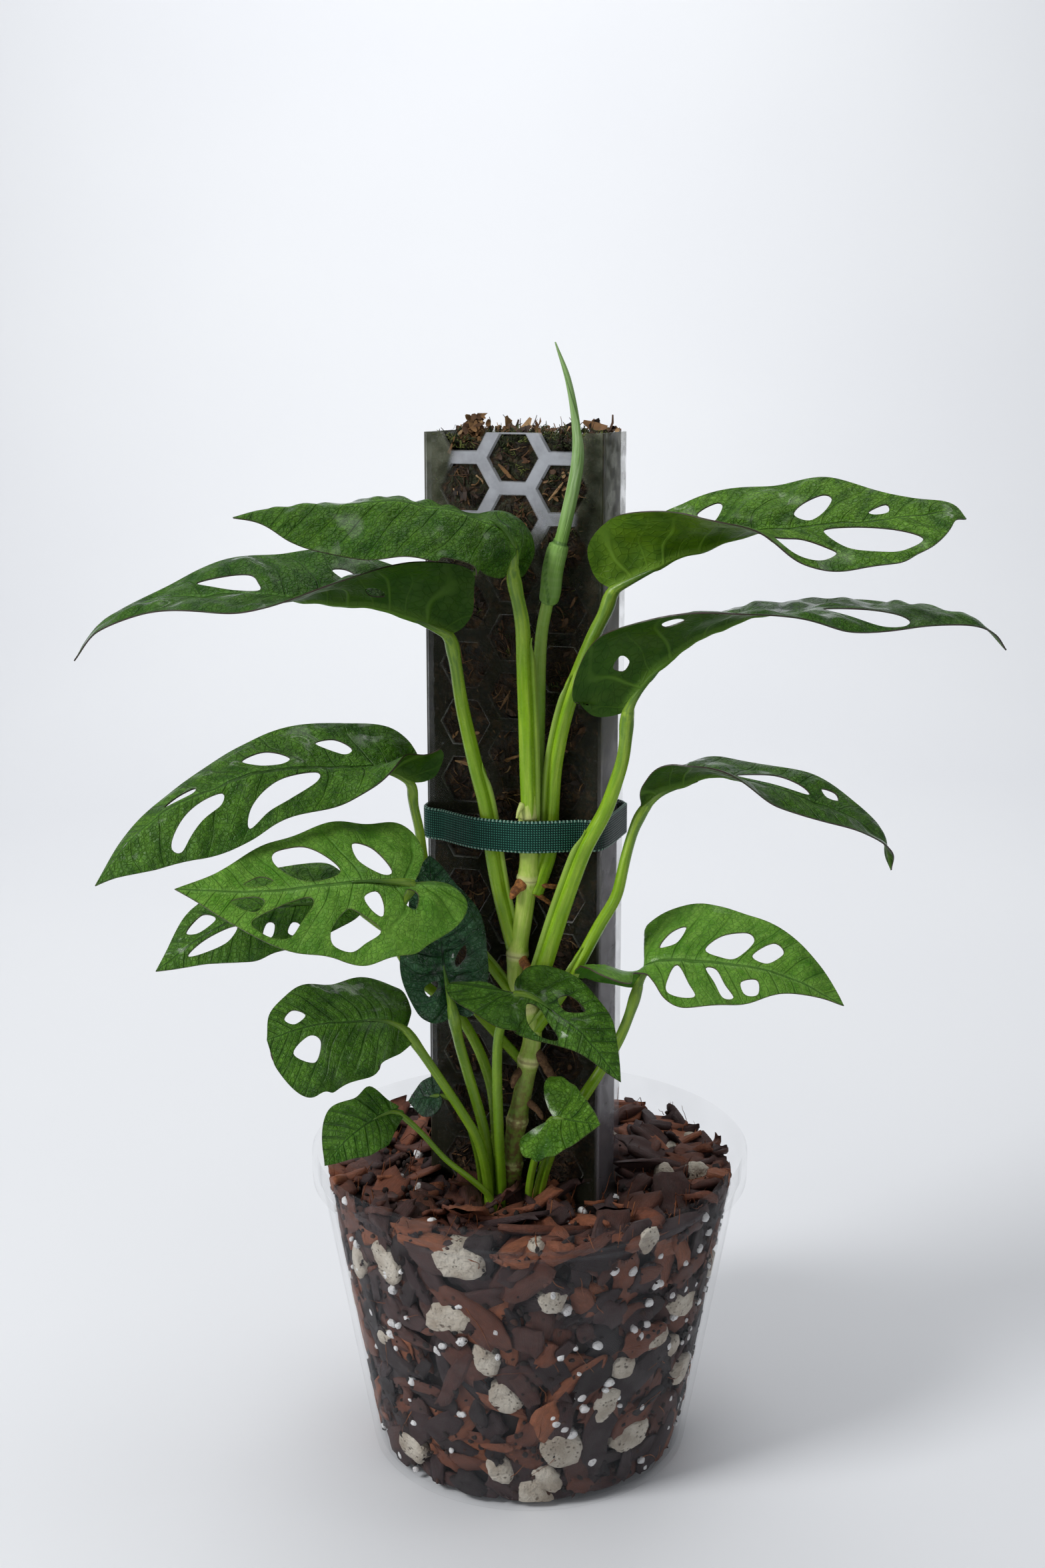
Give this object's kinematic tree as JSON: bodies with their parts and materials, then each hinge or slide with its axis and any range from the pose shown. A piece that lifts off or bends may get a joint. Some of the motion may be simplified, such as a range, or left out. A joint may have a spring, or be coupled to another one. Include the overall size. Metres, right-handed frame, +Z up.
{
  "type": "potted adansons monstera",
  "caption": "Climbing monstera with perforated leaves, strapped to a clear moss-filled pole with a hexagonal grid, rooted in bark mix in a clear pot.",
  "frame": {"origin": "middle of the pot's base, on the surface that it stands on", "axes": "+Z up; the pole's perforated front faces -Y; the leaves spread along X, turned 20 degrees towards -Y at the left"},
  "size_m": [0.3267, 0.2211, 0.4532],
  "materials": {
    "leaf": "glossy green leaf",
    "leaf_pale": "semi-gloss young leaf",
    "leaf_dark": "wet dark leaf",
    "leaf_rolled": "pale rolled leaf",
    "stem": "smooth yellow-green stem",
    "pole": "clear plastic",
    "moss": "damp matted moss",
    "strap": "woven plant tape",
    "pot": "clear plastic",
    "mix": "damp bark, pumice and perlite"
  },
  "bodies": {
    "root": {"leaf_top_left": "leaf", "leaf_upper_left": "leaf", "leaf_middle_left": "leaf", "leaf_front_left": "leaf_pale", "leaf_behind_left": "leaf", "leaf_dark_centre": "leaf_dark", "leaf_front_centre": "leaf", "leaf_round_left": "leaf", "leaf_small_left": "leaf", "leaf_tiny_left": "leaf_dark", "leaf_small_right": "leaf_pale", "leaf_low_right": "leaf", "leaf_middle_right": "leaf", "leaf_upper_right": "leaf", "leaf_top_right": "leaf", "leaf_rolled": "leaf_rolled", "main_stem": "stem", "pole_back_shell": "pole", "pole_front_panel": "pole", "moss_core": "moss", "plant_strap": "strap", "pot": "pot", "growing_mix": "mix"}
  },
  "joints": []
}
